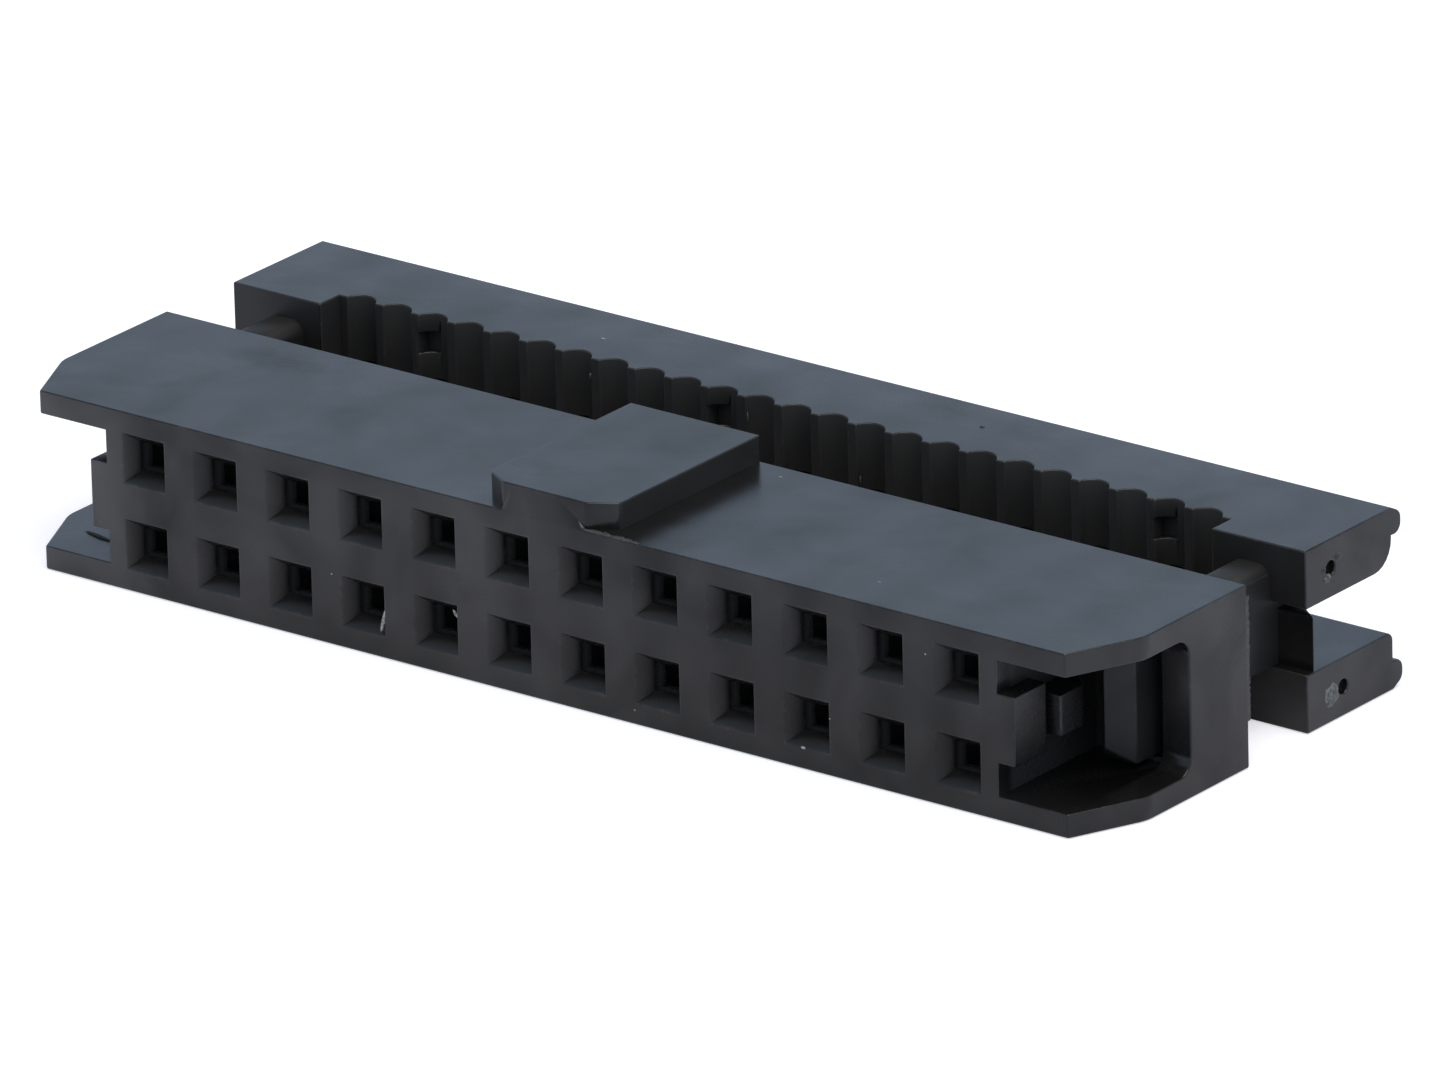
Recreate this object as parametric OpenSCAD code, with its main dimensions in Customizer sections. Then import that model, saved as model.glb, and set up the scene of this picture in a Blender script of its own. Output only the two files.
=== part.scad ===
// Female ribbon-cable connector with insulation displacement contacts.
// Two rows of sockets in a moulded housing, a pressed-on cable cover standing in its open
// position, and one stamped contact for each socket.
// X runs along the connector, Y from the mating face back to the cable, Z up.
// The origin is the middle of the mating face.

/* [Contact grid] */
// Contacts in each of the two rows
columns = 12; // [4:1:28]
// Distance between neighbouring contacts, and between the rows
pitch = 2.54; // [2.5:0.01:2.8]

/* [Housing] */
// Depth from the mating face to the cable side
housing_depth = 6.8; // [6.4:0.1:9]
// Height without the key
housing_height = 5.28; // [5.2:0.02:6.4]
// Length of the housing beyond the end contacts
housing_end = 4.63; // [4.4:0.01:6]
// Length of the socket block beyond the end contacts
block_end = 1.33; // [1.1:0.01:1.5]
// Thickness of the wing plates above and below the end windows
wing = 0.69; // [0.5:0.01:0.8]
// Thickness of the end walls
end_wall = 0.97; // [0.7:0.01:1.2]
// Front corner cut of the wing plates, along the connector
wing_cut_x = 1; // [0.5:0.05:1.6]
// Front corner cut of the wing plates, front to back
wing_cut_y = 2.2; // [1:0.1:3]

/* [Sockets] */
// Side of the square lead-in at the mating face
lead_in = 1.5; // [1.2:0.05:1.6]
// Depth of the tapered lead-in
lead_in_depth = 0.45; // [0.2:0.05:0.7]
// Side of the square pin hole behind the lead-in
pin_hole = 0.8; // [0.7:0.02:1]
// Depth of the front wall that the pin holes pierce
front_wall = 0.95; // [0.8:0.05:1.1]
// Width of the contact chambers
chamber_width = 1.6; // [1.5:0.05:1.8]
// Height of the contact chambers
chamber_height = 1.55; // [1.5:0.01:1.65]
// Thickness of the web between the two rows
row_web = 0.8; // [0.7:0.02:1]

/* [Key] */
// Width of the polarising key
key_width = 4.45; // [3:0.05:6]
// Height of the key above the housing
key_height = 0.77; // [0.4:0.01:1.5]
// Ledge between the mating face and the key
key_ledge = 0.12; // [0.05:0.01:0.5]
// Front corner cut of the key, along the connector
key_cut_x = 0.8; // [0.2:0.05:1.2]
// Front corner cut of the key, front to back
key_cut_y = 0.47; // [0.1:0.01:1]

/* [End windows and latches] */
// Depth of the window in the end wall
window_depth = 4.2; // [3.8:0.05:4.6]
// Corner radius of the window
window_radius = 0.5; // [0.1:0.05:1]
// Depth of the latch chamber behind the window
latch_depth = 4.4; // [4.1:0.05:5]
// How far the end rib stands out of the socket block
rib_reach = 0.57; // [0.3:0.01:0.65]
// Height of the end rib
rib_height = 2; // [1.2:0.1:2.6]
// Depth of the end rib
rib_depth = 1.45; // [0.8:0.05:1.5]
// Height of the latch step behind the end rib
step_height = 1.2; // [0.8:0.1:2]
// Length of the flat crown of the latch step
step_length = 1; // [0.5:0.05:1.2]
// Length of the ramp behind the crown
step_ramp = 0.85; // [0.4:0.05:1]

/* [Cover] */
// Gap between the housing and the open cover
open_gap = 2.8; // [2.7:0.02:2.9]
// Gap that is left when the cover is pressed shut
shut_gap = 0.05; // [0.04:0.01:0.2]
// Depth of the cover without its rear lips
cover_depth = 3.95; // [3.4:0.05:5]
// Height of the cover
cover_height = 5.28; // [5:0.02:6]
// How much shorter the cover is than the housing, at each end
cover_short = 0.1; // [0.05:0.01:0.4]
// Depth of the recess that the flat cable lies in
cable_recess = 0.85; // [0.5:0.05:1]
// How far the recess reaches past the outer wires, at each end
recess_side = 0.13; // [0.05:0.01:0.3]
// Radius of the cable grooves
groove_radius = 0.5; // [0.4:0.01:0.55]
// Depth of the cable grooves
groove_depth = 0.37; // [0.2:0.01:0.45]
// How far the two lips stand out of the cover's back
lip_reach = 0.44; // [0.2:0.02:0.6]
// Height of a lip
lip_height = 0.6; // [0.3:0.05:0.8]
// Height of the notch in each end of the cover
notch_height = 1.9; // [1.6:0.05:2.2]
// Depth of each notch from the end of the cover
notch_length = 3.1; // [2.6:0.1:3.2]
// Thickness of the wall between the notch and the front of the cover
notch_wall = 0.9; // [0.6:0.05:1.2]
// Rounding of the notch's upper rear edge
upper_radius = 0.8; // [0.2:0.05:0.8]
// Rounding of the notch's lower rear edge
lower_radius = 0.25; // [0.1:0.05:0.6]
// Height of the catch that stands on the notch's lower side
catch_height = 1.6; // [0.8:0.05:1.7]
// Set-back of the catch behind the front of the cover
catch_back = 0.34; // [0.1:0.02:0.5]
// Length of the catch's ramp
catch_ramp = 0.9; // [0.5:0.05:1.2]
// Diameter of the gate marks on the cover's ends
mark_size = 0.42; // [0.2:0.02:0.6]
// Distance of the upper gate mark behind the front of the cover
upper_mark = 1.15; // [0.6:0.05:2]
// Distance of the lower gate mark behind the front of the cover
lower_mark = 1.65; // [0.6:0.05:2]
// Depth of the gate marks, twice that of the small recesses in the grooves
mark_depth = 0.2; // [0.1:0.05:0.4]

/* [Legs] */
// Height of the cover's legs
leg_height = 3.5; // [2:0.1:3.5]
// Thickness of a leg
leg_thick = 0.72; // [0.6:0.02:0.8]
// Inward reach of the hook at the end of a leg
hook_reach = 0.32; // [0.25:0.01:0.36]
// Length of the hook
hook_length = 1.48; // [1.2:0.02:1.5]
// Length of the hook's inner slant, which rides over the latch step
hook_tip = 0.52; // [0.2:0.02:0.7]
// Length of the hook's outer slant
tip_length = 0.66; // [0.3:0.02:0.8]
// Width of the hook's outer slant
tip_width = 0.58; // [0.3:0.02:0.66]
// How much the top and the bottom of the hook draw in towards its tip
tip_narrow = 0.55; // [0.2:0.05:0.7]
// Thickness of a leg's stout root
root_thick = 1.3; // [0.9:0.05:1.4]
// Height of the root above the middle plane
root_top = 1.98; // [1.8:0.02:2.05]
// Length of the root in front of the cover
root_length = 1.5; // [1:0.05:1.6]
// Rounding of the root's upper corners
root_radius = 0.4; // [0.1:0.05:0.5]
// Length of the slant by which a leg's lower edge rises to the root
leg_taper = 1.1; // [0.6:0.1:1.2]

/* [Contacts] */
// Thickness of the contact strip
strip = 0.2; // [0.16:0.01:0.3]
// Width of the fork that cuts into the cable
fork_width = 1; // [0.9:0.02:1.04]
// How far the forks stand out of the housing
fork_reach = 1.5; // [1.2:0.05:1.6]
// Width of the fork's slot
fork_slot = 0.26; // [0.2:0.01:0.34]
// Depth of the fork's slot
fork_slot_depth = 1.15; // [0.9:0.05:1.2]
// Free gap between the two spring beams
beam_gap = 0.5; // [0.4:0.02:0.6]
// Height of the spring beams
beam_height = 1; // [0.6:0.05:1.1]
// Length of the contact's body, in front of its shoulder
body_length = 1.2; // [1:0.05:1.4]

/* [Fits] */
// Clearance of the legs and hooks in the housing
leg_fit = 0.07; // [0.05:0.01:0.12]
// Room outside each leg, into which it bends as its hook passes the latch step
leg_play = 0.33; // [0.1:0.01:0.36]
// Clearance of the contacts in their chambers
contact_fit = 0.03; // [0.02:0.01:0.05]
// Clearance of the fork tips in the cover's pockets
pocket_fit = 0.05; // [0.04:0.01:0.15]

/* [Hidden] */
$fn = 48;
// Overlap that carries a cut clear through a face
over = 0.5;
// Steps of a rounded corner
round_steps = 6;
// Straight run kept at a rounded edge, as a multiple of its radius
corner_room = 1.05;

contacts = 2 * columns;
end_x = (columns - 1) * pitch / 2;
housing_x = end_x + housing_end;
block_x = end_x + block_end;
housing_z = housing_height / 2;
window_z = housing_z - wing;
row_z = pitch / 2;
floor_z = row_web / 2;

// The wing plates' rounded corners, at the front tip and where the cut meets the end
wing_tip_radius = 0.1;
wing_side_radius = 1.2;
key_radius = 0.25;

wire_pitch = pitch / 2;
fork_shift = pitch / 4;
fork_tip_y = housing_depth + fork_reach;
fork_point = 0.35;
shoulder_length = 1.2;
shoulder_y = housing_depth - shoulder_length;
body_y = shoulder_y - body_length;

// The spring beams' grip and flared tip, behind the front wall
grip_y = front_wall + 1.7;
beam_tip_y = front_wall + 1.1;
beam_flare = 0.15;

wall_x = housing_x - end_wall;
leg_out_x = wall_x - leg_play;
leg_in_x = leg_out_x - leg_thick;
hook_in_x = leg_in_x - hook_reach;
step_x = hook_in_x - leg_fit;
root_in_x = leg_out_x - root_thick;
root_low_z = -notch_height / 2;

travel = open_gap - shut_gap;
hook_back_y = latch_depth - leg_fit;
hook_front_y = hook_back_y - hook_length;
step_front_y = hook_back_y - travel + leg_fit;

cover_x = housing_x - cover_short;
cover_z = cover_height / 2;
cover_front_y = housing_depth + open_gap;
cover_back_y = cover_front_y + cover_depth;
groove_y = cover_front_y + cable_recess;
recess_x = columns * pitch / 2 + recess_side;
pocket_y = fork_tip_y + travel + pocket_fit;
lip_edge = 0.22;
lip_radius = min(lip_height / 2, lip_reach * 0.7);

// Grooves that carry a small square recess near the top of the cover, counted from the left
marked_grooves = [2, 10, 22];
mark_width = 0.5;
mark_shift = 0.3;
mark_tall = 0.6;
mark_top = 0.55;

function two_digits(i) = i < 10 ? str("0", i) : str(i);
function contact_name(i) = str("contact_", two_digits(i + 1));

// Corners of an outline replaced by arcs
function unit(p) = p / norm(p);
function short_turn(a) = a > 180 ? a - 360 : a < -180 ? a + 360 : a;
function corner_arc(before, at, after, r) =
    let (
        u = unit(before - at),
        v = unit(after - at),
        half = acos(u * v) / 2,
        centre = at + unit(u + v) * r / sin(half),
        from = at + u * r / tan(half) - centre,
        to = at + v * r / tan(half) - centre,
        start = atan2(from.y, from.x),
        turn = short_turn(atan2(to.y, to.x) - start)
    )
    [for (i = [0 : round_steps])
        centre + r * [cos(start + turn * i / round_steps), sin(start + turn * i / round_steps)]];
function rounded(points, radii) =
    let (n = len(points))
    [for (i = [0 : n - 1])
        each radii[i] == 0
            ? [points[i]]
            : corner_arc(points[(i + n - 1) % n], points[i], points[(i + 1) % n], radii[i])];

// Place of a contact column, and of a cable groove, along X
function column_x(i) = (i - (columns - 1) / 2) * pitch;
function wire_x(i) = (i - (contacts - 1) / 2) * wire_pitch;

// The same shape at both ends of the connector
module both_ends() {
    children();
    mirror([1, 0, 0]) children();
}

// The same shape above and below the middle plane
module both_sides() {
    children();
    mirror([0, 0, 1]) children();
}

// A plan outline, drawn in X and Y, raised evenly about the middle plane
module raised(height) {
    translate([0, 0, -height / 2]) linear_extrude(height) children();
}

// A side outline, drawn in Y and Z, carried along X from one place to another
module along_x(from, to) {
    translate([from, 0, 0]) rotate([90, 0, 90]) linear_extrude(to - from) children();
}

// Housing
module housing_outline() {
    back = housing_depth;
    polygon(rounded(
        [
            [-housing_x + wing_cut_x, 0], [housing_x - wing_cut_x, 0],
            [housing_x, wing_cut_y], [housing_x, back],
            [-housing_x, back], [-housing_x, wing_cut_y]
        ],
        [wing_tip_radius, wing_tip_radius, wing_side_radius, 0, 0, wing_side_radius]
    ));
}

module key() {
    half = key_width / 2;
    back = housing_depth;
    translate([0, 0, housing_z - over]) linear_extrude(key_height + over)
        polygon(rounded(
            [
                [-half + key_cut_x, key_ledge], [half - key_cut_x, key_ledge],
                [half, key_ledge + key_cut_y], [half, back],
                [-half, back], [-half, key_ledge + key_cut_y]
            ],
            [key_radius, key_radius, key_radius, 0, 0, key_radius]
        ));
}

// Half the width of a socket at each depth: lead-in, pin hole and the wide chamber
module socket_column() {
    top = lead_in / 2;
    hole = pin_hole / 2;
    wide = chamber_width / 2;
    polygon([
        [-top, 0], [-hole, lead_in_depth], [-hole, front_wall], [-wide, front_wall],
        [-wide, housing_depth + over], [wide, housing_depth + over],
        [wide, front_wall], [hole, front_wall], [hole, lead_in_depth], [top, 0]
    ]);
}

module socket_row() {
    top = lead_in / 2;
    hole = pin_hole / 2;
    polygon([
        [0, row_z - top], [lead_in_depth, row_z - hole], [front_wall, row_z - hole],
        [front_wall, floor_z], [housing_depth + over, floor_z],
        [housing_depth + over, floor_z + chamber_height], [front_wall, floor_z + chamber_height],
        [front_wall, row_z + hole], [lead_in_depth, row_z + hole], [0, row_z + top]
    ]);
}

// Every socket at once: the columns cross the rows
module sockets() {
    intersection() {
        raised(housing_height)
            for (i = [0 : columns - 1]) translate([column_x(i), 0]) socket_column();
        both_sides() along_x(-block_x, block_x) socket_row();
    }
}

// Slots that let the off-centre shoulder of each contact in from the cable side
module shoulder_slots() {
    wide = fork_shift + fork_width / 2 + contact_fit;
    deep = shoulder_length + contact_fit;
    tall = strip + 2 * contact_fit;
    for (i = [0 : columns - 1]) {
        translate([column_x(i) - wide, housing_depth - deep, floor_z]) cube([wide, deep + over, tall]);
        translate([column_x(i), housing_depth - deep, -floor_z - tall]) cube([wide, deep + over, tall]);
    }
}

// Space for one leg of the cover: the latch chamber, the window, the leg's slot and the root's recess
module latch_space() {
    slot_height = leg_height + 2 * leg_fit;
    slot_x = leg_in_x - leg_fit;
    rest_height = root_top - root_low_z + 2 * leg_fit;
    rest_x = root_in_x - leg_fit;
    rest_y = housing_depth + shut_gap - root_length - leg_fit;
    translate([block_x, -over, -window_z]) cube([wall_x - block_x, latch_depth + over, 2 * window_z]);
    translate([slot_x, 0, -slot_height / 2]) cube([wall_x - slot_x, housing_depth + over, slot_height]);
    translate([rest_x, rest_y, root_low_z - leg_fit])
        cube([wall_x - rest_x, housing_depth + over - rest_y, rest_height]);
    along_x(wall_x - over, housing_x + over)
        polygon(rounded(
            [[-over, -window_z], [window_depth, -window_z], [window_depth, window_z], [-over, window_z]],
            [0, window_radius, window_radius, 0]
        ));
}

// Rib at the end of the socket block, and the latch step that the hook snaps over
module end_rib() {
    translate([block_x - over, 0, -rib_height / 2]) cube([rib_reach + over, rib_depth, rib_height]);
    raised(step_height)
        polygon([
            [block_x - over, step_front_y], [step_x, step_front_y],
            [step_x, step_front_y + step_length], [block_x, step_front_y + step_length + step_ramp],
            [block_x - over, step_front_y + step_length + step_ramp]
        ]);
}

module housing() {
    color([0.13, 0.13, 0.15]) {
        difference() {
            union() {
                raised(housing_height) housing_outline();
                key();
            }
            both_ends() latch_space();
            sockets();
            shoulder_slots();
        }
        both_ends() end_rib();
    }
}

// Cover
// Side outline with a sloped lip along the top and the bottom of the back
module cover_outline() {
    lip_top = cover_z - lip_edge;
    lip_low = lip_top - lip_height;
    half = [
        [cover_front_y, cover_z], [cover_back_y, cover_z],
        [cover_back_y + lip_reach, lip_top], [cover_back_y + lip_reach, lip_low],
        [cover_back_y, lip_low]
    ];
    radii = [0, 0, lip_radius, lip_radius, 0];
    n = len(half);
    lower = [for (i = [n - 1 : -1 : 0]) [half[i].x, -half[i].y]];
    lower_radii = [for (i = [n - 1 : -1 : 0]) radii[i]];
    polygon(rounded(concat(half, lower), concat(radii, lower_radii)));
}

// Recess for the cable, with a groove for each wire and a pocket for each fork tip
module cable_bed() {
    groove_centre = groove_y + groove_depth - groove_radius;
    tall = cover_height + 2 * over;
    recess_deep = groove_y - cover_front_y;
    pocket_wide = fork_width + 2 * pocket_fit;
    pocket_tall = strip + 2 * pocket_fit;
    pocket_z = floor_z + contact_fit + strip / 2;
    raised(tall) {
        translate([-recess_x, cover_front_y - over]) square([2 * recess_x, recess_deep + over]);
        for (i = [0 : contacts - 1]) translate([wire_x(i), groove_centre]) circle(groove_radius);
    }
    for (i = [0 : contacts - 1]) {
        side = i % 2 == 0 ? 1 : -1;
        translate([wire_x(i) - pocket_wide / 2, groove_y - over, side * pocket_z - pocket_tall / 2])
            cube([pocket_wide, pocket_y - groove_y + over, pocket_tall]);
    }
    for (i = marked_grooves) if (i < contacts)
        translate([wire_x(i) - mark_shift - mark_width / 2, groove_y, cover_z - mark_top - mark_tall])
            cube([mark_width, groove_depth + mark_depth / 2, mark_tall]);
}

// Notch in the end of the cover, open to the back and to the end
module end_notch() {
    half = notch_height / 2;
    back = cover_back_y + lip_reach + over;
    mouth = cover_back_y;
    upper_end = half + upper_radius * corner_room;
    lower_end = -half - lower_radius * corner_room;
    along_x(cover_x - notch_length, cover_x + over)
        polygon(rounded(
            [
                [cover_front_y + notch_wall, -half], [mouth, -half], [mouth, lower_end],
                [back, lower_end], [back, upper_end], [mouth, upper_end],
                [mouth, half], [cover_front_y + notch_wall, half]
            ],
            [0, lower_radius, 0, 0, 0, 0, upper_radius, 0]
        ));
    translate([leg_out_x, cover_front_y - over, -half])
        cube([cover_x - leg_out_x + over, notch_wall + 2 * over, notch_height]);
}

// Stout root of a leg, level with the notch below, carried from inside the cover to its free end
module leg_root(root_y) {
    translate([0, root_y, 0]) rotate([90, 0, 0]) linear_extrude(root_y - cover_front_y + root_length)
        polygon(rounded(
            [
                [root_in_x, root_low_z], [leg_out_x, root_low_z],
                [leg_out_x, root_top], [root_in_x, root_top]
            ],
            [0, 0, root_radius, root_radius]
        ));
}

// Leg with a stout root and a hook that narrows to its tip from all sides
module leg() {
    root_y = cover_front_y + notch_wall / 2;
    level_y = cover_front_y - root_length;
    top = leg_height / 2;
    intersection() {
        raised(leg_height)
            polygon([
                [leg_out_x - tip_width, hook_front_y], [leg_out_x, hook_front_y + tip_length],
                [leg_out_x, root_y], [leg_in_x, root_y], [leg_in_x, hook_back_y],
                [hook_in_x, hook_back_y], [hook_in_x, hook_front_y + hook_tip]
            ]);
        along_x(hook_in_x, leg_out_x)
            polygon([
                [hook_front_y, tip_narrow - top], [hook_front_y + tip_length, -top],
                [level_y - leg_taper, -top], [level_y, root_low_z], [root_y, root_low_z],
                [root_y, top], [hook_front_y + tip_length, top], [hook_front_y, top - tip_narrow]
            ]);
    }
    leg_root(root_y);
}

// Ramped catch that stands on the lower side of a notch, beside the leg's root
module catch() {
    catch_y = cover_front_y + catch_back;
    inner_x = leg_out_x - leg_thick / 2;
    translate([0, 0, -notch_height / 2 - over]) linear_extrude(catch_height + over)
        polygon([
            [inner_x, catch_y], [cover_x, catch_y],
            [leg_out_x, catch_y + catch_ramp], [inner_x, catch_y + catch_ramp]
        ]);
}

// Shallow round marks that the mould's gates leave on the end faces
module gate_marks() {
    mark_z = (cover_z + notch_height / 2) / 2;
    for (place = [[upper_mark, mark_z], [lower_mark, -mark_z]])
        translate([cover_x - mark_depth, cover_front_y + place.x, place.y])
            rotate([0, 90, 0]) cylinder(d = mark_size, h = mark_depth + over);
}

module cover() {
    color([0.13, 0.13, 0.15]) {
        difference() {
            along_x(-cover_x, cover_x) cover_outline();
            cable_bed();
            both_ends() end_notch();
            both_ends() gate_marks();
        }
        both_ends() leg();
        both_ends() catch();
    }
}

// Contacts
// Flat strip of a contact: body, off-centre shoulder and fork, in plan about the pin's axis
module contact_strip() {
    half = chamber_width / 2 - contact_fit;
    fork_out = fork_shift + fork_width / 2;
    fork_in = fork_shift - fork_width / 2;
    slot_out = fork_shift + fork_slot / 2;
    slot_in = fork_shift - fork_slot / 2;
    slot_y = fork_tip_y - fork_slot_depth;
    difference() {
        polygon([
            [-half, body_y], [half, body_y], [half, housing_depth - contact_fit],
            [-fork_in, housing_depth - contact_fit], [-fork_in, fork_tip_y - fork_point],
            [-slot_in, fork_tip_y], [-slot_out, fork_tip_y],
            [-fork_out, fork_tip_y - fork_point], [-fork_out, shoulder_y], [-half, shoulder_y]
        ]);
        translate([-slot_out, slot_y]) square([fork_slot, fork_slot_depth + over]);
        translate([-fork_shift, slot_y]) circle(fork_slot / 2);
        polygon([
            [-fork_shift, fork_tip_y - fork_point], [-slot_in + fork_slot, fork_tip_y + over],
            [-slot_out - fork_slot, fork_tip_y + over]
        ]);
    }
}

// One of the two spring beams that grip the pin, in plan
module spring_beam() {
    side = chamber_width / 2 - contact_fit;
    grip = beam_gap / 2;
    flare = grip + beam_flare;
    polygon([
        [side - strip, shoulder_y], [side, shoulder_y], [side, body_y], [grip + strip, grip_y],
        [flare + strip, beam_tip_y], [flare, beam_tip_y], [grip, grip_y], [side - strip, body_y]
    ]);
}

// A contact of the upper row, with the pin's axis at X 0
module upper_contact() {
    bottom = floor_z + contact_fit;
    translate([0, 0, bottom]) linear_extrude(strip) contact_strip();
    both_ends() translate([0, 0, bottom]) linear_extrude(strip + beam_height) spring_beam();
}

// Contacts count along the upper row, then along the lower row, which is turned half round
module contact(i) {
    upper = i < columns;
    place = column_x(i % columns);
    color([0.72, 0.55, 0.3])
        translate([place, 0, 0]) rotate([0, upper ? 0 : 180, 0]) upper_contact();
}

housing();
cover();
for (i = [0 : contacts - 1]) contact(i);
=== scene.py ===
"""Looks of the ribbon-cable connector: softened black mouldings and plated contacts, in metres."""

import math
import random

import bmesh
import bpy
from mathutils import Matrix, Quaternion, Vector


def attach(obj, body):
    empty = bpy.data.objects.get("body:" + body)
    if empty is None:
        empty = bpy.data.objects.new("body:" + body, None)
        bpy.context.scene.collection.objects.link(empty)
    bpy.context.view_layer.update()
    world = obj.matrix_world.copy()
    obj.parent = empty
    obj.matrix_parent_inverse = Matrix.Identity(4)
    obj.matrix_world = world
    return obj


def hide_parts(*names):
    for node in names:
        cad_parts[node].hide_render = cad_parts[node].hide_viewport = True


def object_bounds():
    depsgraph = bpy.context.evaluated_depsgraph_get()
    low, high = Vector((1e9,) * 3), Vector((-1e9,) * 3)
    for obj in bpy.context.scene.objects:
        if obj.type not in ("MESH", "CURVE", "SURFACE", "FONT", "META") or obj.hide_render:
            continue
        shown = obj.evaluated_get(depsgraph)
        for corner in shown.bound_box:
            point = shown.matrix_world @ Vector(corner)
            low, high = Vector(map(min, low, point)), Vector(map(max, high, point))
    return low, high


MM = 0.001

# Camera, fitted to the photograph's view of the socket grid
CAMERA_AZIMUTH = 38.18
CAMERA_ELEVATION = 21.31
CAMERA_ROLL = -1.54
CAMERA_DISTANCE = 538.4 * MM
CAMERA_AIM = Vector((0.495, 7.118, -0.143)) * MM
CAMERA_LENS = 492.8
CAMERA_CLIP = 0.01
SENSOR_WIDTH = 36.0

# Rounding of the moulded and the stamped edges
MOULD_RADIUS = 0.05 * MM
STAMP_RADIUS = 0.02 * MM
ROUNDING_STEPS = 2
ROUND_PROFILE = 0.5
WELD_DISTANCE = 0.0001 * MM
FLAT_ANGLE = math.radians(0.5)
SHARP_ANGLE = math.radians(28)
SHADING_WEIGHT = 100

# Places on the housing and the cover, in millimetres
SOCKET_PITCH = 2.54
SOCKETS_END = 15.24
SOCKETS_TOP = 2.2
LEAD_IN_DEPTH = 0.45
DEEP_FROM = 1.5 * LEAD_IN_DEPTH
BLOCK_END = 15.3
CHAMBER_BACK = 4.4
HOUSING_TOP = 2.64
COVER_END = 18.5
BED_END = 15.45
BED_FRONT = 9.63
BED_BACK = 11.25

# Which faces a finish takes in: distances from a plane, and the share of a normal along an axis
FRONT_SKIN = 0.01
ON_PLANE = 0.02
FACING = 0.9
SQUARE_ON = 0.99
BED_SLOPE = 0.7

# Shares of painted light and shade on some faces, from 0 for none to 1: a paler colour with less gloss on
# the cover's legs, painted shade as less gloss on the key's sides, and painted light as a paler colour in
# the latch chambers
LEG_MATT_SHARE = 0.5
# Painted shade on the key's sides, as less gloss with a paler colour
KEY_PAINTED_SHADE = 0.8
CHAMBER_PAINTED_LIGHT = 0.35

# Noises of the finishes, with their scale in features for each millimetre
FLOW_MARKS = {"scale": 0.35, "detail": 4, "distortion": 1.5}
GRAIN_MARKS = {"scale": 12, "detail": 4, "roughness": 0.65}
WEAR_MARKS = {"scale": 2.2, "detail": 6, "roughness": 0.7}
GLOSS_PATCHES = {"scale": 0.3, "detail": 2, "distortion": 1.0, "seed": 11.7}
TORN_FIBRES = {"scale": 9, "detail": 5, "roughness": 0.7}
ROLLED_GRAIN = {"scale": 4, "detail": 5, "roughness": 0.7}
STAIN_MARKS = {"scale": 1.3, "detail": 4}

# Colour, roughness and relief of the mouldings, with the spans that their noises are stretched from
FLOW_SPAN = (0.3, 0.75)
WEAR_SPAN = (0.5, 0.75)
FLOW_SHARE, GRAIN_SHARE = 0.6, 0.4
UNEVEN_SPAN = (0.3, 0.7)
MOULD_ROUGHNESS = (0.2, 0.3)
MATT_ROUGHNESS = 0.35
MOULD_IOR = 1.52
FLOW_HEIGHT, FLOW_STRENGTH = 0.02 * MM, 0.5
GRAIN_HEIGHT, GRAIN_STRENGTH = 0.006 * MM, 0.35

# Gloss of the mouldings: patches, sink marks over the sockets, and what the faces with painted shade and
# painted light lose
PATCH_GLOSS = 0.7
SINK_GLOSS = 0.04
LEAST_GLOSS = 0.11
PAINTED_GLOSS_LOSS = 0.6

# Painted light and shade on the housing's front, as gloss found by its normal and depth: more at its left
# end, less on its right half
FRONT_FACING = (-0.7, -0.9)
FRONT_DEPTH = (1.0, 0.5)
PAINTED_LIGHT_END, END_GAIN = (-13.5, -16.5), 0.8
PAINTED_SHADE_HALF, HALF_LOSS = (-1.0, 4.0), 0.17

# Painted dark reflection on the left end of the housing's top: middle and half size in millimetres, fade
# and loss
DARK_REFLECTION_PLACE = (-13.6, 5.4, HOUSING_TOP)
DARK_REFLECTION_SIZE = (2.1, 0.9, 0.5)
DARK_REFLECTION_FADE = (1.5, 0.8)
DARK_REFLECTION_LOSS = 0.5

# Finish of torn plastic, lint and grime
FIBRE_SPAN = (0.35, 0.65)
FIBRE_HEIGHT, FIBRE_STRENGTH = 0.03 * MM, 0.8
TORN_ROUGHNESS = 0.5

# Finish of the contacts
ROLLING_STRETCH = (6.0, 0.8, 6.0)
STAIN_SPAN = (0.45, 0.8)
EDGE_SHINE = 0.7
BRONZE_ROUGHNESS = (0.2, 0.42)
ROLLED_HEIGHT, ROLLED_STRENGTH = 0.004 * MM, 0.3

# Colours, as linear values
BLACK_PLASTIC = (0.0075, 0.0069, 0.0066, 1)
GREY_PLASTIC = (0.0105, 0.0099, 0.0095, 1)
WORN_PLASTIC = (0.03, 0.03, 0.031, 1)
# Painted light: a paler colour in the shaded cable bed, also laid on the key's sides and the cover's legs
MATT_PAINTED_LIGHT = (0.021, 0.0206, 0.0203, 1)
# Painted light: a paler colour deep in the pin sockets and the latch chambers
SOCKET_PAINTED_LIGHT = (0.07, 0.068, 0.066, 1)
TORN_PLASTIC = (0.2, 0.205, 0.21, 1)
FLASH_PLASTIC = (0.06, 0.06, 0.061, 1)
LINT = (0.5, 0.5, 0.49, 1)
DIM_LINT = (0.1, 0.1, 0.098, 1)
# Grime, also used for a streak of painted shade on the left lower wing
GRIME_AND_SHADE = (0.012, 0.012, 0.012, 1)
BRONZE = (0.66, 0.51, 0.31, 1)
TARNISH = (0.4, 0.28, 0.16, 1)
FLOOR = (0.62, 0.625, 0.71, 1)
FLOOR_LIGHT = (1, 1, 1, 1)
HORIZON = (0.74, 0.79, 0.86, 1)
COOL_WALL = (0.54, 0.68, 0.86, 1)
CEILING = (0.25, 0.255, 0.265, 1)
LAMP = (1.0, 0.93, 0.83)

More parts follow.
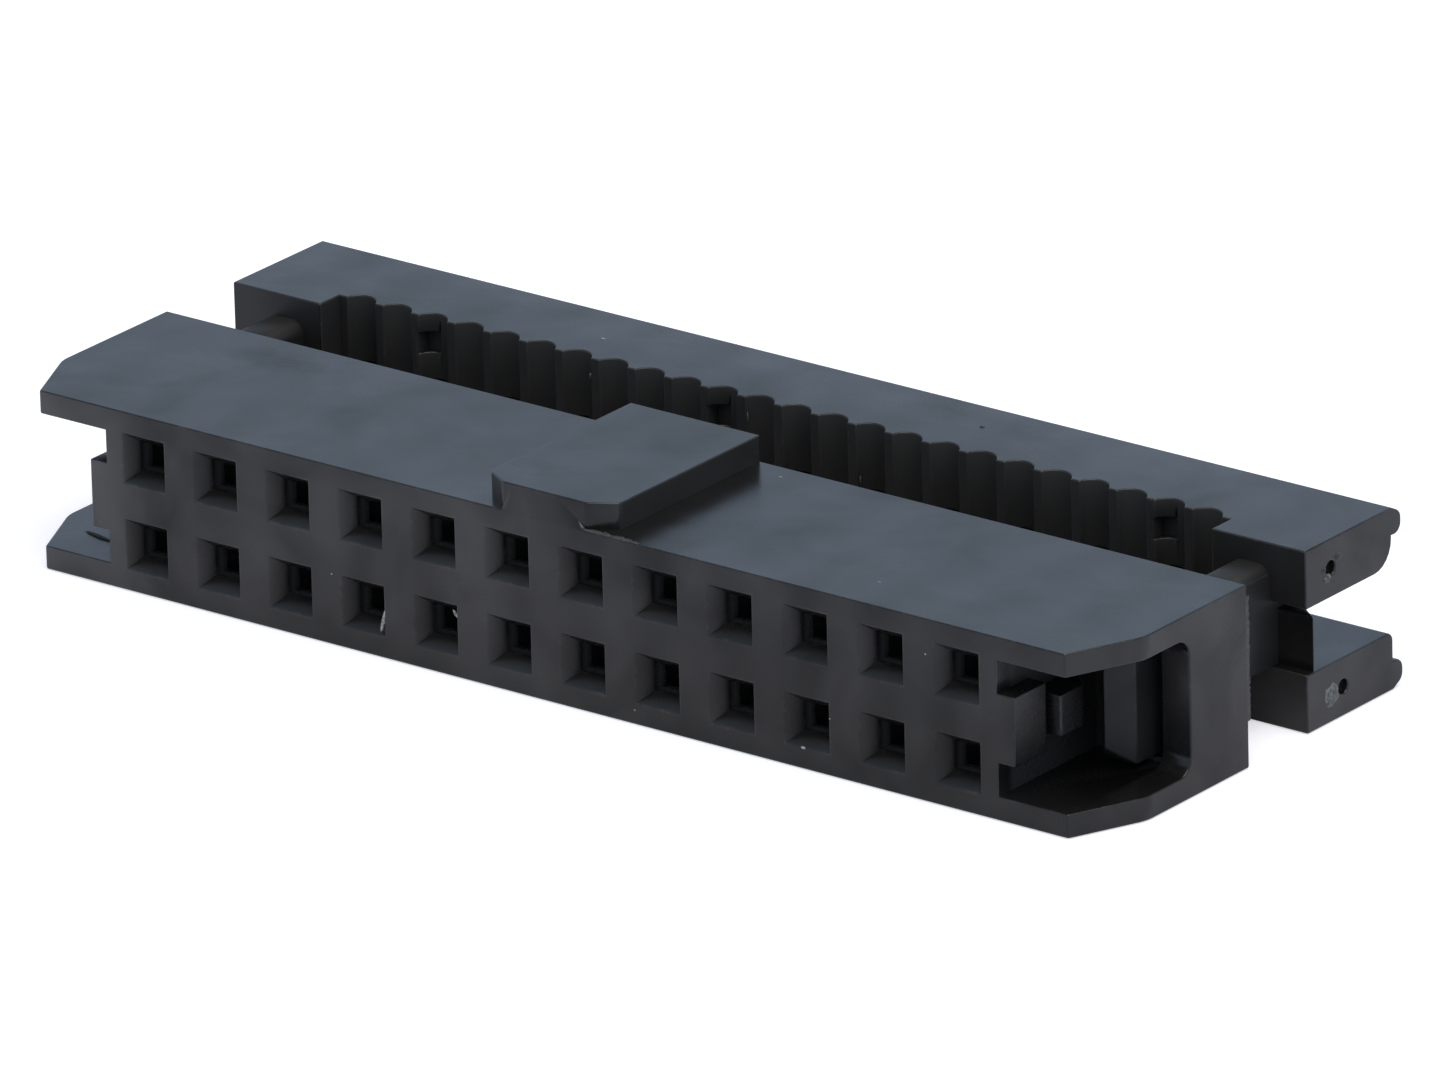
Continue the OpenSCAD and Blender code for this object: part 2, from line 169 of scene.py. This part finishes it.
# Floor, surround and lamp, in metres
FLOOR_HALF = 1.5
FLOOR_DROP = 0.02 * MM
FLOOR_ROUGHNESS = 0.9
FLOOR_GLOSS = 0.1
FLOOR_GLOW = 0.55
FLOOR_SHEEN = 0.17
WALL_RISE = (0.0, 0.2)
CEILING_RISE = (0.55, 0.85)
LAMP_SIZE = 0.5
LAMP_POWER = 2.3
LAMP_PLACE = Vector((0.12, -0.06, 0.5))
LAMP_AIM = Vector((0, 0.007, 0))

# Gate scars, in millimetres: name, middle and half size in Y and Z, and height
TORN_SCARS = [
    ("gate_scar_lower", (10.7, -1.86), (0.4, 0.42), 0.07),
    ("gate_scar_upper", (10.58, 1.54), (0.2, 0.15), 0.07),
]
FAINT_SCARS = [
    ("gate_scar_top", (11.08, 2.05), (0.24, 0.16), 0.05),
    ("gate_scar_front", (10.42, 1.84), (0.14, 0.1), 0.05),
]
SCAR_RINGS, SCAR_SIDES = 5, 18
SCAR_EDGE = (0.72, 1.0)
SCAR_LUMPS = (0.5, 1.0)
SCAR_PEAK = 0.8
SCAR_SINK = 0.01

# Flash that fills the ledge before the key and runs up the key's front, in millimetres
SEAM_END, SEAM_STEP = 1.4, 0.1
SEAM_LEFT_FADE, SEAM_RIGHT_FADE = 0.2, 0.9
SEAM_Y, SEAM_Z = 0.006, 2.6
SEAM_LEAN = (0, 0.16, 1)
SEAM_CREST_LOW, SEAM_CREST_RISE = 0.045, 0.36
SEAM_DEPTH, SEAM_TOP_LOW, SEAM_TOP_RISE = 0.121, 0.05, 0.71
SEAM_LEAST = 0.92

# Thin flash along the ledge and the foot of the key, in millimetres
FLASH_START, FLASH_END, FLASH_STEP = 0.3, 3.3, 0.05
FLASH_LEFT, FLASH_LEFT_FADE = 0.1, 0.5
FLASH_RIGHT, FLASH_RIGHT_FADE = 3.5, 0.6
FLASH_Y, FLASH_Z = 0.02, 2.61
FLASH_LEAN = (0, 0.2, 1)
FLASH_LOW, FLASH_RISE = 0.05, 0.08
FLASH_THICKNESS = (0, 0.1, 0.02)
FLASH_LEAST = 0.6

# Flash along the rear edge of the right end wall, in millimetres
FIN_LOW, FIN_TOP, FIN_STEP = -1.3, 2.3, 0.04
FIN_X, FIN_Y = 18.59, 6.77
FIN_LEAN = (0, 1, 0)
FIN_HEIGHT = 0.16
FIN_THICKNESS = (-0.06, 0.03, 0)

# Lint, grime and a streak of painted shade, in millimetres: the two ends and the width of each grain
HOUSING_LINT = [
    ((-5.56, 0.05, -1.15), (-5.79, 0.05, -1.94), 0.15),
    ((-3.26, 0.07, -0.7), (-3.02, 0.07, -0.92), 0.13),
    ((-7.52, 0.03, -0.54), (-7.32, 0.03, -0.57), 0.1),
    ((12.88, 0.03, 1.63), (13.02, 0.03, 1.61), 0.1),
    ((8.63, 0.03, -2.02), (8.84, 0.03, -2.05), 0.1),
    ((2.93, 0.03, -2.22), (3.1, 0.03, -2.22), 0.09),
    ((9.61, 0.03, -0.98), (9.75, 0.03, -0.98), 0.08),
    ((3.33, 6.15, 2.62), (3.47, 6.17, 2.62), 0.1),
    ((10.27, 1.46, 2.62), (10.45, 1.44, 2.62), 0.09),
    ((-15.67, 0.04, -0.78), (-15.52, 0.04, -0.84), 0.1),
]
COVER_LINT = [((-7.2, 11.8, 2.62), (-7.05, 11.86, 2.62), 0.13)]
BED_LINT = [
    ((-6.52, 10.46, 2.03), (-6.52, 10.46, 2.2), 0.13),
    ((-1.05, 10.46, 1.92), (-1.05, 10.46, 2.22), 0.07),
    ((2.81, 10.46, 0.95), (2.81, 10.46, 1.18), 0.07),
]
COVER_GRIME = [((5.6, 12.22, 2.63), (5.76, 12.26, 2.63), 0.12)]
# Painted shade: a dark streak on the left lower wing at the foot of the end block
WING_SHADE_STREAK = [((-17.38, 1.46, -1.94), (-16.2, 1.24, -1.94), 0.16)]
GRAIN_STATIONS, GRAIN_SIDES = (0.15, 0.5, 0.85), 6
GRAIN_LUMPS = (0.65, 1.0)

# Seeds of the ragged pieces
SEEDS = {
    "gate_scar_lower": 3,
    "gate_scar_upper": 5,
    "gate_scar_top": 7,
    "gate_scar_front": 9,
    "key_seam": 10,
    "key_flash": 11,
    "wall_flash": 13,
    "lint_housing": 17,
    "lint_cover": 19,
    "lint_bed": 21,
    "grime_cover": 23,
    "shade_streak_wing": 25,
}

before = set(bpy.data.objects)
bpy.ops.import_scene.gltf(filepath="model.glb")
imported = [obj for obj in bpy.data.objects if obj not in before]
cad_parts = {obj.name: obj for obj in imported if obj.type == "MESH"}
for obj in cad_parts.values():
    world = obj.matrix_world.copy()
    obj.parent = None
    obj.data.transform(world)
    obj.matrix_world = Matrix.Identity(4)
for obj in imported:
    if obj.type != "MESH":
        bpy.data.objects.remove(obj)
cad_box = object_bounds()


def add_node(tree, kind, values=None, **settings):
    """A shader node with its settings and its input values."""
    node = tree.nodes.new(kind)
    for name, value in settings.items():
        setattr(node, name, value)
    for name, value in (values or {}).items():
        node.inputs[name].default_value = value
    return node


def ramp_node(tree, source, low, high, start=0.0, end=1.0):
    """The source stretched so that low becomes the start and high becomes the end."""
    node = add_node(tree, "ShaderNodeMapRange", {
        "From Min": low, "From Max": high, "To Min": start, "To Max": end})
    tree.links.new(source, node.inputs["Value"])
    return node.outputs["Result"]


def math_node(tree, operation, first, second):
    """One arithmetic step on two sockets or numbers."""
    node = add_node(tree, "ShaderNodeMath", operation=operation)
    for place, value in enumerate((first, second)):
        if isinstance(value, (int, float)):
            node.inputs[place].default_value = value
        else:
            tree.links.new(value, node.inputs[place])
    return node.outputs["Value"]


def mix_node(tree, share, first, second):
    """Two colours mixed by a share."""
    node = add_node(tree, "ShaderNodeMix", data_type="RGBA")
    tree.links.new(share, node.inputs["Factor"])
    for socket, value in ((node.inputs[6], first), (node.inputs[7], second)):
        if isinstance(value, tuple):
            socket.default_value = value
        else:
            tree.links.new(value, socket)
    return node.outputs[2]


def noise_node(tree, place, scale, detail=3.0, roughness=0.5, distortion=0.0, seed=None):
    """Noise with its scale in features for each millimetre."""
    node = add_node(tree, "ShaderNodeTexNoise", {
        "Scale": scale, "Detail": detail, "Roughness": roughness, "Distortion": distortion})
    if seed is not None:
        node.noise_dimensions = "4D"
        node.inputs["W"].default_value = seed
    tree.links.new(place, node.inputs["Vector"])
    return node.outputs["Fac"]


def bump_node(tree, height, distance, strength, below=None):
    """A bump of that height in metres, on top of another one."""
    node = add_node(tree, "ShaderNodeBump", {"Distance": distance, "Strength": strength})
    tree.links.new(height, node.inputs["Height"])
    if below is not None:
        tree.links.new(below, node.inputs["Normal"])
    return node.outputs["Normal"]


def split_node(tree, vector):
    """The X, Y and Z of a vector."""
    node = add_node(tree, "ShaderNodeSeparateXYZ")
    tree.links.new(vector, node.inputs["Vector"])
    return node.outputs


def coordinate(tree, name):
    """One of the coordinates that Blender gives a surface or the world."""
    return add_node(tree, "ShaderNodeTexCoord").outputs[name]


def face_mark(tree, name):
    """A number that the mesh keeps for each face."""
    return add_node(tree, "ShaderNodeAttribute", attribute_name=name).outputs["Fac"]


def place_on_piece(tree):
    """The place on a piece, in millimetres."""
    node = add_node(tree, "ShaderNodeVectorMath", {"Scale": 1 / MM}, operation="SCALE")
    tree.links.new(coordinate(tree, "Object"), node.inputs["Vector"])
    return node.outputs["Vector"]


def new_material(name):
    """A plain node material, with its tree and its shader."""
    material = bpy.data.materials.new(name)
    material.use_nodes = True
    return material, material.node_tree, material.node_tree.nodes["Principled BSDF"]


def surface_marks(tree, place):
    """The noises, face marks and places that the finish of a moulding is worked out from."""
    return {
        "flow": noise_node(tree, place, **FLOW_MARKS),
        "grain": noise_node(tree, place, **GRAIN_MARKS),
        "wear": noise_node(tree, place, **WEAR_MARKS),
        "patches": noise_node(tree, place, **GLOSS_PATCHES),
        "edge": face_mark(tree, "rounded_edge"),
        "painted_matt": face_mark(tree, "painted_matt_mark"),
        "socket_paint": face_mark(tree, "socket_light_and_shade"),
        "x": split_node(tree, place)["X"],
        "y": split_node(tree, place)["Y"],
        "facing": split_node(tree, coordinate(tree, "Normal"))["Y"],
    }


def moulded_colour(tree, marks):
    """Black with grey flow marks and pale worn edges; painted light as a paler colour on the matt-marked
    faces and deep in the sockets and chambers.
    """
    depth = ramp_node(tree, marks["y"], LEAD_IN_DEPTH, DEEP_FROM)
    # Painted light: a paler colour deeper in the sockets and chambers
    socket_lift = math_node(tree, "MULTIPLY", marks["socket_paint"], depth)
    worn = math_node(tree, "MULTIPLY", marks["edge"], ramp_node(tree, marks["wear"], *WEAR_SPAN))
    body = mix_node(tree, ramp_node(tree, marks["flow"], *FLOW_SPAN), BLACK_PLASTIC, GREY_PLASTIC)
    # Painted light in the cable bed, and a paler colour on the key's sides and the cover's legs
    body = mix_node(tree, marks["painted_matt"], body, MATT_PAINTED_LIGHT)
    body = mix_node(tree, socket_lift, body, SOCKET_PAINTED_LIGHT)
    return mix_node(tree, worn, body, WORN_PLASTIC)


def moulded_roughness(tree, marks):
    """Fairly smooth, uneven with the flow and the grain, and coarser where it is matt."""
    uneven = math_node(tree, "ADD", math_node(tree, "MULTIPLY", marks["flow"], FLOW_SHARE),
                       math_node(tree, "MULTIPLY", marks["grain"], GRAIN_SHARE))
    smooth = ramp_node(tree, uneven, *UNEVEN_SPAN, *MOULD_ROUGHNESS)
    return math_node(tree, "ADD", smooth, math_node(tree, "MULTIPLY", marks["painted_matt"], MATT_ROUGHNESS))


def painted_front_light_shade(tree, marks):
    """Painted light and shade: the gloss that the housing's front gains at its left end and loses on its
    right half.
    """
    front = math_node(tree, "MULTIPLY", ramp_node(tree, marks["facing"], *FRONT_FACING),
                      ramp_node(tree, marks["y"], *FRONT_DEPTH))
    gain = math_node(tree, "MULTIPLY", ramp_node(tree, marks["x"], *PAINTED_LIGHT_END), END_GAIN)
    loss = math_node(tree, "MULTIPLY", ramp_node(tree, marks["x"], *PAINTED_SHADE_HALF), HALF_LOSS)
    return math_node(tree, "MULTIPLY", front, math_node(tree, "SUBTRACT", gain, loss))


def painted_dark_reflection(tree, marks, place):
    """Painted dark reflection: the gloss that a ragged patch takes from the left end of the housing's top.
    """
    centred = add_node(tree, "ShaderNodeMapping", {"Location": DARK_REFLECTION_PLACE, "Scale": DARK_REFLECTION_SIZE},
                       vector_type="TEXTURE")
    tree.links.new(place, centred.inputs["Vector"])
    away = add_node(tree, "ShaderNodeVectorMath", operation="LENGTH")
    tree.links.new(centred.outputs["Vector"], away.inputs[0])
    ragged = math_node(tree, "ADD", away.outputs["Value"], marks["wear"])
    return math_node(tree, "MULTIPLY", ramp_node(tree, ragged, *DARK_REFLECTION_FADE), DARK_REFLECTION_LOSS)


def moulded_gloss(tree, marks, place):
    """Patchy gloss with faint sink marks over the sockets; less of it as painted shade in the socket
    lead-ins and on the matt-marked faces, with painted light and shade on the housing's front and a
    painted dark reflection on the housing's top.
    """
    turns = math_node(tree, "MULTIPLY", marks["x"], 2 * math.pi / SOCKET_PITCH)
    sink = math_node(tree, "MULTIPLY", math_node(tree, "COSINE", turns, 0.0), SINK_GLOSS)
    gloss = math_node(tree, "ADD", math_node(tree, "MULTIPLY", marks["patches"], PATCH_GLOSS), sink)
    gloss = math_node(tree, "ADD", gloss, LEAST_GLOSS)
    depth = ramp_node(tree, marks["y"], 0.0, LEAD_IN_DEPTH)
    # Painted shade: less gloss deeper in the socket lead-ins
    lead_in_shade = math_node(tree, "MULTIPLY", marks["socket_paint"], depth)
    painted_dull = math_node(tree, "ADD", lead_in_shade, marks["painted_matt"])
    share = math_node(tree, "SUBTRACT", 1.0, math_node(tree, "MULTIPLY", painted_dull, PAINTED_GLOSS_LOSS))
    share = math_node(tree, "ADD", share, painted_front_light_shade(tree, marks))
    # Painted dark reflection on the housing's top
    share = math_node(tree, "SUBTRACT", share, painted_dark_reflection(tree, marks, place))
    return math_node(tree, "MULTIPLY", gloss, share)


def moulded_plastic(name):
    """Black glass-filled moulding: flow and sink marks, fine grain and pale worn edges."""
    material, tree, shader = new_material(name)
    place = place_on_piece(tree)
    marks = surface_marks(tree, place)
    relief = bump_node(tree, marks["flow"], FLOW_HEIGHT, FLOW_STRENGTH)
    relief = bump_node(tree, marks["grain"], GRAIN_HEIGHT, GRAIN_STRENGTH, relief)
    tree.links.new(moulded_colour(tree, marks), shader.inputs["Base Color"])
    tree.links.new(moulded_roughness(tree, marks), shader.inputs["Roughness"])
    tree.links.new(moulded_gloss(tree, marks, place), shader.inputs["Specular IOR Level"])
    tree.links.new(relief, shader.inputs["Normal"])
    shader.inputs["IOR"].default_value = MOULD_IOR
    return material


def torn_plastic(name, colour):
    """A dull, fibrous surface in black and one colour, for torn plastic, flash, lint, grime and a streak
    of painted shade.
    """
    material, tree, shader = new_material(name)
    fibre = noise_node(tree, place_on_piece(tree), **TORN_FIBRES)
    mixed = mix_node(tree, ramp_node(tree, fibre, *FIBRE_SPAN), BLACK_PLASTIC, colour)
    tree.links.new(mixed, shader.inputs["Base Color"])
    tree.links.new(bump_node(tree, fibre, FIBRE_HEIGHT, FIBRE_STRENGTH), shader.inputs["Normal"])
    shader.inputs["Roughness"].default_value = TORN_ROUGHNESS
    return material


def plated_bronze(name):
    """Stamped phosphor bronze: rolled grain along the strip and slight tarnish."""
    material, tree, shader = new_material(name)
    place = place_on_piece(tree)
    stretched = add_node(tree, "ShaderNodeMapping", {"Scale": ROLLING_STRETCH})
    tree.links.new(place, stretched.inputs["Vector"])
    rolled = noise_node(tree, stretched.outputs["Vector"], **ROLLED_GRAIN)
    stain = noise_node(tree, place, **STAIN_MARKS)
    bright = math_node(tree, "MULTIPLY", face_mark(tree, "rounded_edge"), EDGE_SHINE)
    tarnished = math_node(tree, "MULTIPLY", ramp_node(tree, stain, *STAIN_SPAN),
                          math_node(tree, "SUBTRACT", 1.0, bright))
    tree.links.new(mix_node(tree, tarnished, BRONZE, TARNISH), shader.inputs["Base Color"])
    tree.links.new(ramp_node(tree, rolled, 0.0, 1.0, *BRONZE_ROUGHNESS), shader.inputs["Roughness"])
    tree.links.new(bump_node(tree, rolled, ROLLED_HEIGHT, ROLLED_STRENGTH), shader.inputs["Normal"])
    shader.inputs["Metallic"].default_value = 1.0
    return material


def pale_floor(name):
    """Matt near-white, lifted to white for the camera and a little for reflections."""
    material, tree, shader = new_material(name)
    path = add_node(tree, "ShaderNodeLightPath")
    seen = math_node(tree, "MULTIPLY", path.outputs["Is Camera Ray"], FLOOR_GLOW)
    mirrored = math_node(tree, "MULTIPLY", path.outputs["Is Glossy Ray"], FLOOR_SHEEN)
    tree.links.new(math_node(tree, "ADD", seen, mirrored), shader.inputs["Emission Strength"])
    shader.inputs["Emission Color"].default_value = FLOOR_LIGHT
    shader.inputs["Base Color"].default_value = FLOOR
    shader.inputs["Roughness"].default_value = FLOOR_ROUGHNESS
    shader.inputs["Specular IOR Level"].default_value = FLOOR_GLOSS
    return material


def painted_matt_share(node, face):
    """The share of the matt mark on a face: painted light in the cover's cable bed, a paler colour with
    less gloss on its legs, and painted shade on the sides of the key.
    """
    middle = face.calc_center_median() / MM
    if node == "cover" and abs(middle.x) < BED_END:
        return 1.0 if BED_FRONT < middle.y < BED_BACK and abs(face.normal.z) < BED_SLOPE else 0.0
    if node == "cover":
        return LEG_MATT_SHARE if middle.y < BED_FRONT else 0.0
    return KEY_PAINTED_SHADE if middle.z > HOUSING_TOP and abs(face.normal.x) > FACING else 0.0


def socket_paint_share(face):
    """The share of painted light and shade on a face of the housing, inside a pin socket or a latch
    chamber.
    """
    middle = face.calc_center_median() / MM
    if middle.y < FRONT_SKIN or abs(middle.z) > SOCKETS_TOP:
        return 0.0
    if abs(middle.x) < SOCKETS_END:
        return 1.0 if abs(face.normal.y) < SQUARE_ON else 0.0
    beside = abs(abs(middle.x) - BLOCK_END) < ON_PLANE and abs(face.normal.x) > FACING
    behind = abs(middle.y - CHAMBER_BACK) < ON_PLANE and face.normal.y < -FACING
    return CHAMBER_PAINTED_LIGHT if beside or behind else 0.0


def softened_mesh(node, name, radius):
    """A node's mesh with its outer edges rounded, and with the marks of its faces."""
    shape = bmesh.new()
    shape.from_mesh(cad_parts[node].data)
    bmesh.ops.remove_doubles(shape, verts=shape.verts, dist=WELD_DISTANCE)
    bmesh.ops.dissolve_limit(shape, angle_limit=FLAT_ANGLE, verts=shape.verts, edges=shape.edges)
    shape.normal_update()
    edge_layer = shape.faces.layers.float.new("rounded_edge")
    painted_matt_layer = shape.faces.layers.float.new("painted_matt_mark")
    socket_paint_layer = shape.faces.layers.float.new("socket_light_and_shade")
    outer = [e for e in shape.edges if e.is_convex and e.calc_face_angle() > SHARP_ANGLE]
    rounded = bmesh.ops.bevel(
        shape, geom=outer, offset=radius, offset_type="OFFSET", segments=ROUNDING_STEPS,
        profile=ROUND_PROFILE, affect="EDGES", clamp_overlap=False)
    for face in rounded["faces"]:
        face[edge_layer] = 1.0
    for face in shape.faces:
        face.smooth = True
        face[painted_matt_layer] = painted_matt_share(node, face)
        if node == "housing":
            face[socket_paint_layer] = socket_paint_share(face)
    for edge in shape.edges:
        edge.smooth = edge.is_convex or edge.calc_face_angle(0.0) < SHARP_ANGLE
    mesh = bpy.data.meshes.new(name)
    shape.to_mesh(mesh)
    shape.free()
    return mesh


def add_piece(name, mesh, material, body):
    """A piece of the connector, which rides on a body and takes a material slot."""
    mesh.materials.append(material)
    piece = bpy.data.objects.new(name, mesh)
    bpy.context.scene.collection.objects.link(piece)
    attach(piece, body)
    return piece


def softened_copy(node, name, radius, material, body):
    """A copy of a solid with its outer edges rounded, which stands for the solid."""
    piece = add_piece(name, softened_mesh(node, name, radius), material, body)
    weighted = piece.modifiers.new("even_shading", "WEIGHTED_NORMAL")
    weighted.weight = SHADING_WEIGHT
    weighted.keep_sharp = True
    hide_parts(node)


def add_detail(name, points, faces, material, body):
    """A small extra piece from points in millimetres."""
    mesh = bpy.data.meshes.new(name)
    mesh.from_pydata([Vector(point) * MM for point in points], [], faces)
    for face in mesh.polygons:
        face.use_smooth = True
    add_piece(name, mesh, material, body)


def gate_scar(name, middle, half, height, material):
    """A torn, low lump on the right end face of the cover, about a middle in Y and Z."""
    chance = random.Random(SEEDS[name])
    edge = [chance.uniform(*SCAR_EDGE) for _ in range(SCAR_SIDES)]
    points = [(COVER_END + height * SCAR_PEAK, middle[0], middle[1])]
    for ring in range(1, SCAR_RINGS + 1):
        out = ring / SCAR_RINGS
        rise = height * (1 - out ** 2)
        sink = SCAR_SINK if ring == SCAR_RINGS else 0.0
        for side in range(SCAR_SIDES):
            angle = 2 * math.pi * side / SCAR_SIDES
            reach = out * edge[side]
            points.append((
                COVER_END + rise * chance.uniform(*SCAR_LUMPS) - sink,
                middle[0] + half[0] * reach * math.cos(angle),
                middle[1] + half[1] * reach * math.sin(angle)))
    faces = [(0, 1 + side, 1 + (side + 1) % SCAR_SIDES) for side in range(SCAR_SIDES)]
    for ring in range(SCAR_RINGS - 1):
        inner = 1 + ring * SCAR_SIDES
        outer = inner + SCAR_SIDES
        for side in range(SCAR_SIDES):
            after = (side + 1) % SCAR_SIDES
            faces.append((inner + side, outer + side, outer + after, inner + after))
    add_detail(name, points, faces, material, "cover")


def flash_strip(name, places, material, least=FLASH_LEAST):
    """A ragged fin along places, each a foot, a thickness, a lean and a height, cut to the least share."""
    chance = random.Random(SEEDS[name])
    points, faces = [], []
    for foot, thickness, lean, height in places:
        crest = Vector(foot) + Vector(lean) * height * chance.uniform(least, 1.0)
        points += [foot, crest, Vector(foot) + Vector(thickness)]
    for i in range(len(places) - 1):
        a, b = 3 * i, 3 * i + 3
        faces += [(a, b, b + 1, a + 1), (a + 1, b + 1, b + 2, a + 2)]
    add_detail(name, points, faces, material, "base")


def steps(start, end, step):
    """Even steps from a start to an end."""
    return [start + step * i for i in range(round((end - start) / step) + 1)]


def key_seam_places():
    """Places of the flash on the key's front, which dies out towards both ends."""
    places = []
    for x in steps(-SEAM_END, SEAM_END, SEAM_STEP):
        swell = min(1.0, (SEAM_END + x) / SEAM_LEFT_FADE, (SEAM_END - x) / SEAM_RIGHT_FADE)
        thickness = (0, SEAM_DEPTH, SEAM_TOP_LOW + SEAM_TOP_RISE * swell)
        height = SEAM_CREST_LOW + SEAM_CREST_RISE * swell
        places.append(((x, SEAM_Y, SEAM_Z), thickness, SEAM_LEAN, height))
    return places


def key_flash_places():
    """Places of the thin flash along the ledge and the foot of the key."""
    places = []
    for x in steps(FLASH_START, FLASH_END, FLASH_STEP):
        swell = min(1.0, (x - FLASH_LEFT) / FLASH_LEFT_FADE, (FLASH_RIGHT - x) / FLASH_RIGHT_FADE)
        height = FLASH_LOW + FLASH_RISE * swell
        places.append(((x, FLASH_Y, FLASH_Z), FLASH_THICKNESS, FLASH_LEAN, height))
    return places


def wall_flash_places():
    """Places of the flash behind the right end wall, from the top down so that it faces outwards."""
    heights = reversed(steps(FIN_LOW, FIN_TOP, FIN_STEP))
    return [((FIN_X, FIN_Y, z), FIN_THICKNESS, FIN_LEAN, FIN_HEIGHT) for z in heights]


def scattered_grains(name, grains, material, body):
    """Lint and grit: each grain a ragged closed lump between two ends, with a width."""
    chance = random.Random(SEEDS[name])
    sides = GRAIN_SIDES
    points, faces = [], []
    for tail, head, width in grains:
        axis = Vector(head) - Vector(tail)
        first = axis.orthogonal().normalized()
        second = axis.normalized().cross(first)
        base = len(points)
        points.append(Vector(tail))
        for station in GRAIN_STATIONS:
            for side in range(sides):
                angle = 2 * math.pi * side / sides
                reach = width / 2 * chance.uniform(*GRAIN_LUMPS) * math.sin(math.pi * station) ** 0.5
                spoke = first * math.cos(angle) + second * math.sin(angle)
                points.append(Vector(tail) + axis * station + spoke * reach)
        points.append(Vector(head))
        last = len(points) - 1
        for side in range(sides):
            after = (side + 1) % sides
            faces.append((base, base + 1 + after, base + 1 + side))
            for ring in range(len(GRAIN_STATIONS) - 1):
                low = base + 1 + ring * sides
                faces.append((low + side, low + after, low + sides + after, low + sides + side))
            faces.append((last, last - sides + side, last - sides + after))
    add_detail(name, points, faces, material, body)


def build_pieces(plastic):
    """Both mouldings and every contact."""
    bronze = plated_bronze("plated_bronze")
    softened_copy("housing", "socket_housing", MOULD_RADIUS, plastic, "base")
    softened_copy("cover", "cable_cover", MOULD_RADIUS, plastic, "cover")
    for node in sorted(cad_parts):
        if node.startswith("contact_"):
            softened_copy(node, "plated_" + node, STAMP_RADIUS, bronze, "base")


def build_details(plastic):
    """Gate scars on the cover's end, and mould flash at the key and behind the end wall."""
    torn = torn_plastic("torn_plastic", TORN_PLASTIC)
    flash = torn_plastic("mould_flash", FLASH_PLASTIC)
    for scar in TORN_SCARS:
        gate_scar(*scar, torn)
    for scar in FAINT_SCARS:
        gate_scar(*scar, flash)
    flash_strip("key_seam", key_seam_places(), plastic, SEAM_LEAST)
    flash_strip("key_flash", key_flash_places(), flash)
    flash_strip("wall_flash", wall_flash_places(), flash)


def build_dust():
    """The bits of lint and grime that lie on the connector, and a streak of painted shade on the left
    lower wing.
    """
    lint = torn_plastic("settled_lint", LINT)
    dim_lint = torn_plastic("dim_lint", DIM_LINT)
    grime_and_shade = torn_plastic("grime_and_shade", GRIME_AND_SHADE)
    scattered_grains("lint_housing", HOUSING_LINT, lint, "base")
    scattered_grains("lint_cover", COVER_LINT, lint, "cover")
    scattered_grains("lint_bed", BED_LINT, dim_lint, "cover")
    scattered_grains("grime_cover", COVER_GRIME, grime_and_shade, "cover")
    # Painted shade: a dark streak on the left lower wing
    scattered_grains("shade_streak_wing", WING_SHADE_STREAK, grime_and_shade, "base")


def build_floor():
    """A plain pale floor just under the connector."""
    height = cad_box[0].z - FLOOR_DROP
    corners = [(x * FLOOR_HALF, y * FLOOR_HALF, height) for x, y in ((-1, -1), (1, -1), (1, 1), (-1, 1))]
    mesh = bpy.data.meshes.new("floor")
    mesh.from_pydata(corners, [], [(0, 1, 2, 3)])
    mesh.materials.append(pale_floor("pale_floor"))
    floor = bpy.data.objects.new("floor", mesh)
    bpy.context.scene.collection.objects.link(floor)


def build_surround():
    """A pale horizon, a cool wall all round and a dim ceiling."""
    world = bpy.data.worlds.new("surround")
    bpy.context.scene.world = world
    world.use_nodes = True
    tree = world.node_tree
    rise = split_node(tree, coordinate(tree, "Generated"))["Z"]
    wall = mix_node(tree, ramp_node(tree, rise, *WALL_RISE), HORIZON, COOL_WALL)
    around = mix_node(tree, ramp_node(tree, rise, *CEILING_RISE), wall, CEILING)
    background = tree.nodes["Background"]
    tree.links.new(around, background.inputs["Color"])
    background.inputs["Strength"].default_value = 1.0


def build_lamp():
    """One soft lamp overhead."""
    lamp = bpy.data.lights.new("overhead", "AREA")
    lamp.shape = "DISK"
    lamp.size = LAMP_SIZE
    lamp.color = LAMP
    lamp.energy = LAMP_POWER
    overhead = bpy.data.objects.new("overhead", lamp)
    overhead.location = LAMP_PLACE
    overhead.rotation_euler = (LAMP_AIM - LAMP_PLACE).to_track_quat("-Z", "Y").to_euler()
    bpy.context.scene.collection.objects.link(overhead)


def build_camera():
    """The photograph's viewpoint."""
    azimuth = math.radians(CAMERA_AZIMUTH)
    elevation = math.radians(CAMERA_ELEVATION)
    back = Vector((
        math.sin(azimuth) * math.cos(elevation),
        -math.cos(azimuth) * math.cos(elevation),
        math.sin(elevation)))
    data = bpy.data.cameras.new("camera")
    data.sensor_width = SENSOR_WIDTH
    data.lens = CAMERA_LENS
    data.clip_start = CAMERA_CLIP
    camera = bpy.data.objects.new("camera", data)
    camera.rotation_mode = "QUATERNION"
    camera.location = CAMERA_AIM + back * CAMERA_DISTANCE
    level = (-back).to_track_quat("-Z", "Y")
    camera.rotation_quaternion = level @ Quaternion((0, 0, 1), math.radians(CAMERA_ROLL))
    bpy.context.scene.collection.objects.link(camera)
    bpy.context.scene.camera = camera


bpy.context.scene.view_settings.view_transform = "Standard"
plastic = moulded_plastic("black_moulding")
build_pieces(plastic)
build_details(plastic)
build_dust()
build_floor()
build_surround()
build_lamp()
build_camera()
